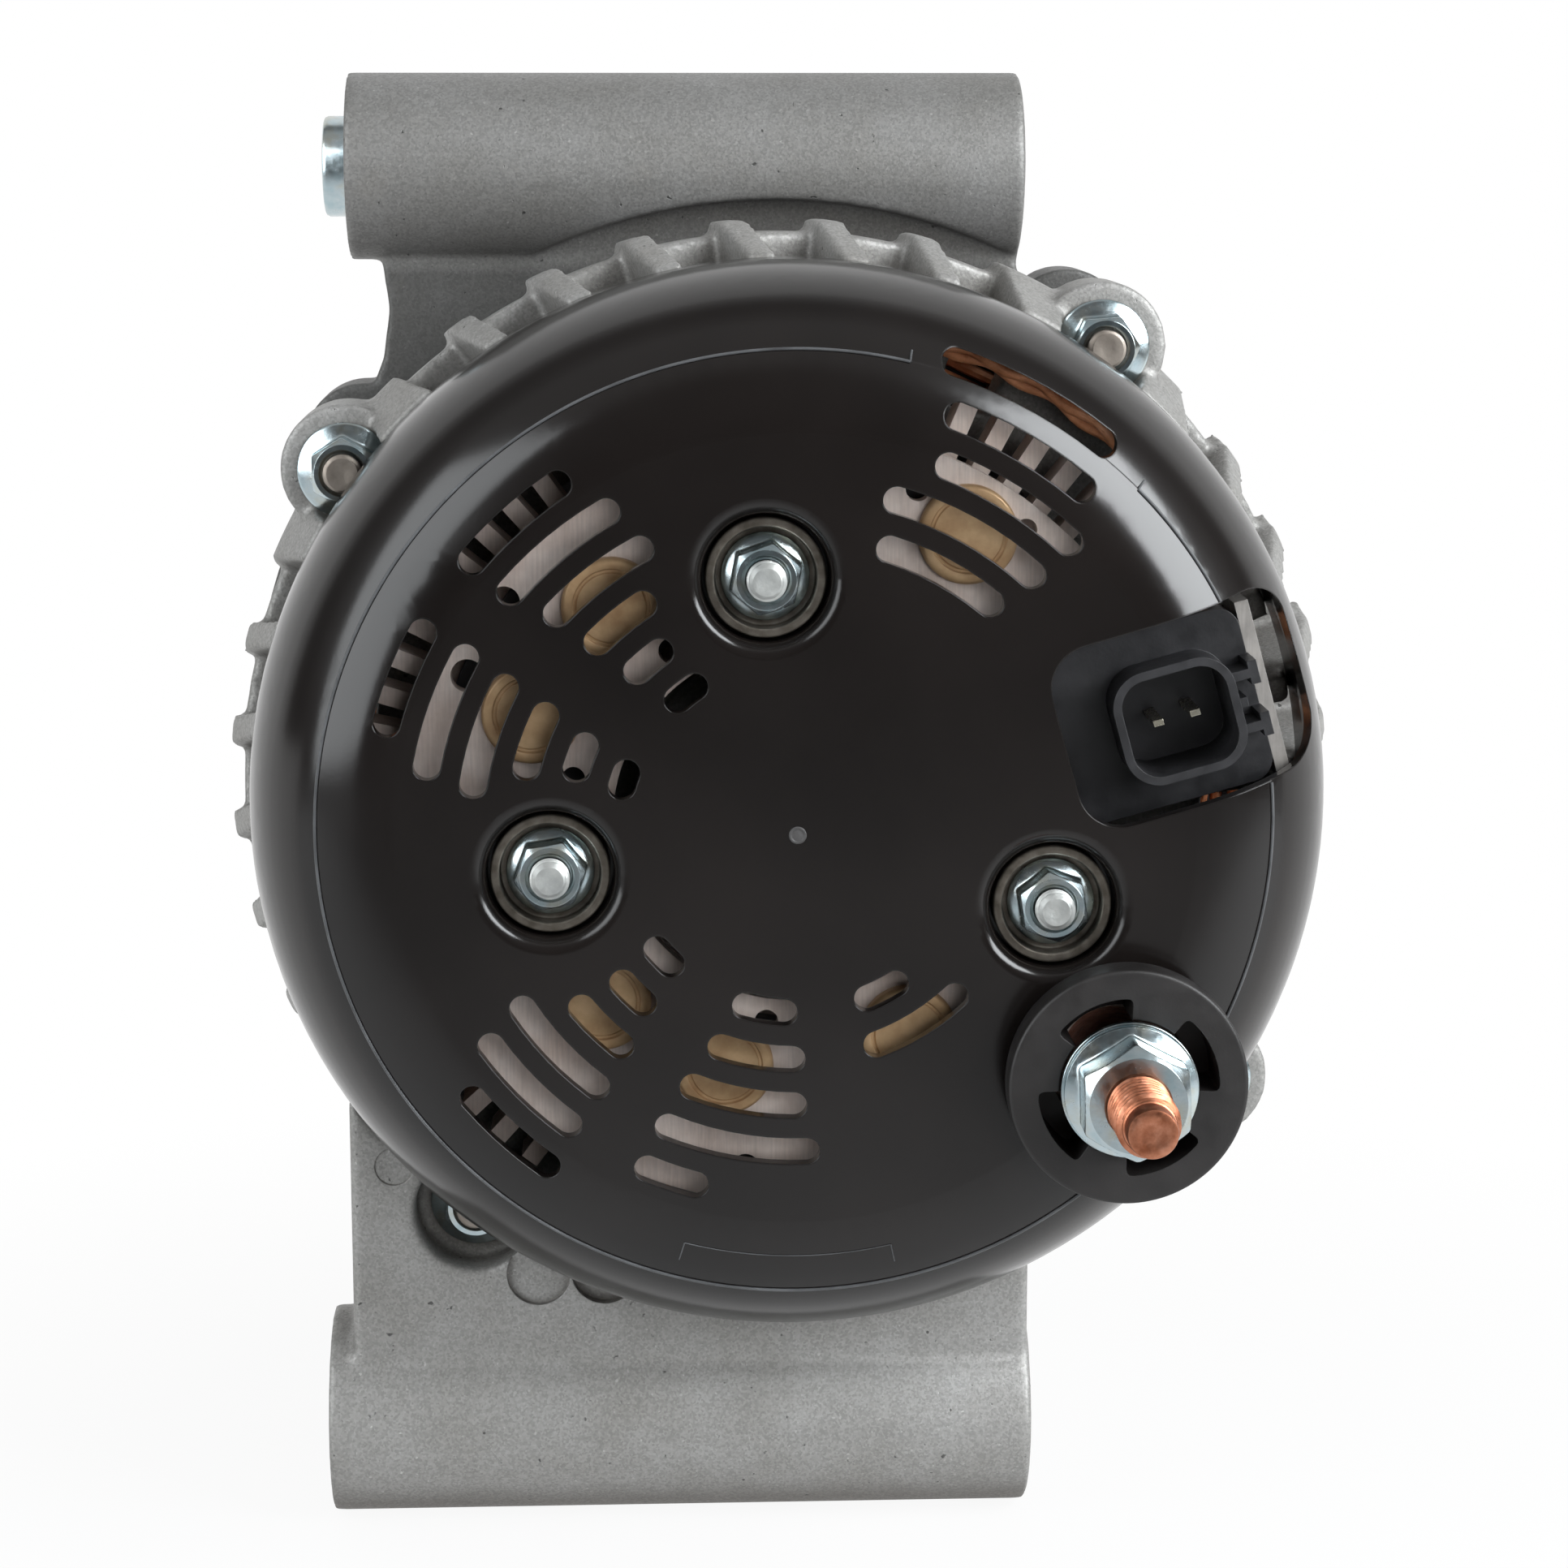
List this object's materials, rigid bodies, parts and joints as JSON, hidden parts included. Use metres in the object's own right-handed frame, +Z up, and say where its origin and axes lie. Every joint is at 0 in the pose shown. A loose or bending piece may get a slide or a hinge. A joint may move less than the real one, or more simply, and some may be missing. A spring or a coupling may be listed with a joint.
{
  "type": "alternator",
  "caption": "Claw-pole alternator head with a slotted plastic rear cover, insulated output stud, connector socket, cast frames with two mounting bars, and a belt pulley.",
  "frame": {"origin": "centre of the lower mounting bar's bore, in the plane of the shaft's axis", "axes": "+X along the lower mounting bore, to the right seen from the rear; +Y along the shaft from the rear cover to the pulley; +Z up, from the lower bar to the upper bar"},
  "size_m": [0.149, 0.1681, 0.1968],
  "materials": {
    "cover_plastic": "satin black moulded nylon",
    "collar_steel": "dull yellow-brown passivated steel",
    "zinc": "bright bluish zinc plate",
    "copper_plate": "copper-plated steel",
    "cast_aluminium": "shot-blasted die casting, fine grain",
    "plate_aluminium": "stamped plate, slightly tinted",
    "diode_can": "nickel-plated press-fit can",
    "block_resin": "black thermoset moulding",
    "socket_plastic": "black moulding",
    "blade": "tinned brass blade",
    "steel": "machined steel",
    "bearing_steel": "ground bearing steel",
    "cage_resin": "moulded polyamide",
    "lamination": "stacked electrical steel sheet",
    "copper_wire": "enamelled copper with resin",
    "bobbin_resin": "dark moulding",
    "pole_steel": "forged steel",
    "fan_steel": "dark pressed sheet",
    "slip_copper": "turned copper",
    "carbon": "pressed carbon and copper",
    "spring_steel": "drawn spring wire",
    "pulley_steel": "black oxide"
  },
  "bodies": {
    "housing": {"rear_cover": "cover_plastic", "cover_collars": "collar_steel", "cover_nuts": "zinc", "cover_studs": "zinc", "output_insulator": "cover_plastic", "output_stud": "copper_plate", "output_washer": "zinc", "output_nut": "zinc", "positive_heatsink": "plate_aluminium", "negative_heatsink": "plate_aluminium", "positive_diodes": "diode_can", "negative_diodes": "diode_can", "terminal_block": "block_resin", "rectifier_screw": "zinc", "regulator_case": "socket_plastic", "regulator_pins": "blade", "regulator_heatsink": "plate_aluminium", "regulator_screws": "zinc", "brush_holder": "block_resin", "brush_1_spring": "spring_steel", "brush_2_spring": "spring_steel", "rear_frame": "cast_aluminium", "front_frame": "cast_aluminium", "through_bolts": "zinc", "through_bolt_nuts": "zinc", "stator_core": "lamination", "stator_winding": "copper_wire", "rear_bearing_outer": "bearing_steel", "front_bearing_outer": "bearing_steel", "bearing_retainer": "steel", "retainer_screws": "zinc"},
    "rotor": {"shaft": "steel", "rear_claw_pole": "pole_steel", "front_claw_pole": "pole_steel", "coil_bobbin": "bobbin_resin", "field_coil": "copper_wire", "rear_fan": "fan_steel", "front_fan": "fan_steel", "slip_ring_sleeve": "block_resin", "slip_rings": "slip_copper", "pulley": "pulley_steel", "pulley_nut": "zinc", "pulley_spacer": "steel", "rear_bearing_inner": "bearing_steel", "front_bearing_inner": "bearing_steel"},
    "rear_balls": {"rear_bearing_balls": "bearing_steel", "rear_bearing_cage": "cage_resin"},
    "front_balls": {"front_bearing_balls": "bearing_steel", "front_bearing_cage": "cage_resin"},
    "brush_1": {"brush_1": "carbon"},
    "brush_2": {"brush_2": "carbon"},
    "mount_bush": {"mount_bush": "zinc"}
  },
  "joints": [
    {"name": "rotor_spin", "type": "hinge", "parent": "housing", "child": "rotor", "pos_m": [0, 0, 0.0889], "axis": [0, 1, 0], "continuous": true},
    {"name": "rear_balls_orbit", "type": "hinge", "parent": "housing", "child": "rear_balls", "pos_m": [0, 0, 0.0889], "axis": [0, 1, 0], "continuous": true},
    {"name": "front_balls_orbit", "type": "hinge", "parent": "housing", "child": "front_balls", "pos_m": [0, 0, 0.0889], "axis": [0, 1, 0], "continuous": true},
    {"name": "brush_1_slide", "type": "slide", "parent": "housing", "child": "brush_1", "axis": [0, 0, 1], "range_m": [0, 0.003], "stiffness_N_per_m": 250, "springref_m": -0.012, "deforming": ["brush_1_spring"]},
    {"name": "brush_2_slide", "type": "slide", "parent": "housing", "child": "brush_2", "axis": [0, 0, 1], "range_m": [0, 0.003], "stiffness_N_per_m": 250, "springref_m": -0.012, "deforming": ["brush_2_spring"]},
    {"name": "mount_bush_slide", "type": "slide", "parent": "housing", "child": "mount_bush", "axis": [1, 0, 0], "range_m": [0, 0.003]}
  ],
  "couplings": [
    {"joint": "rear_balls_orbit", "follows": "rotor_spin", "ratio": 0.39362},
    {"joint": "front_balls_orbit", "follows": "rotor_spin", "ratio": 0.3807}
  ]
}
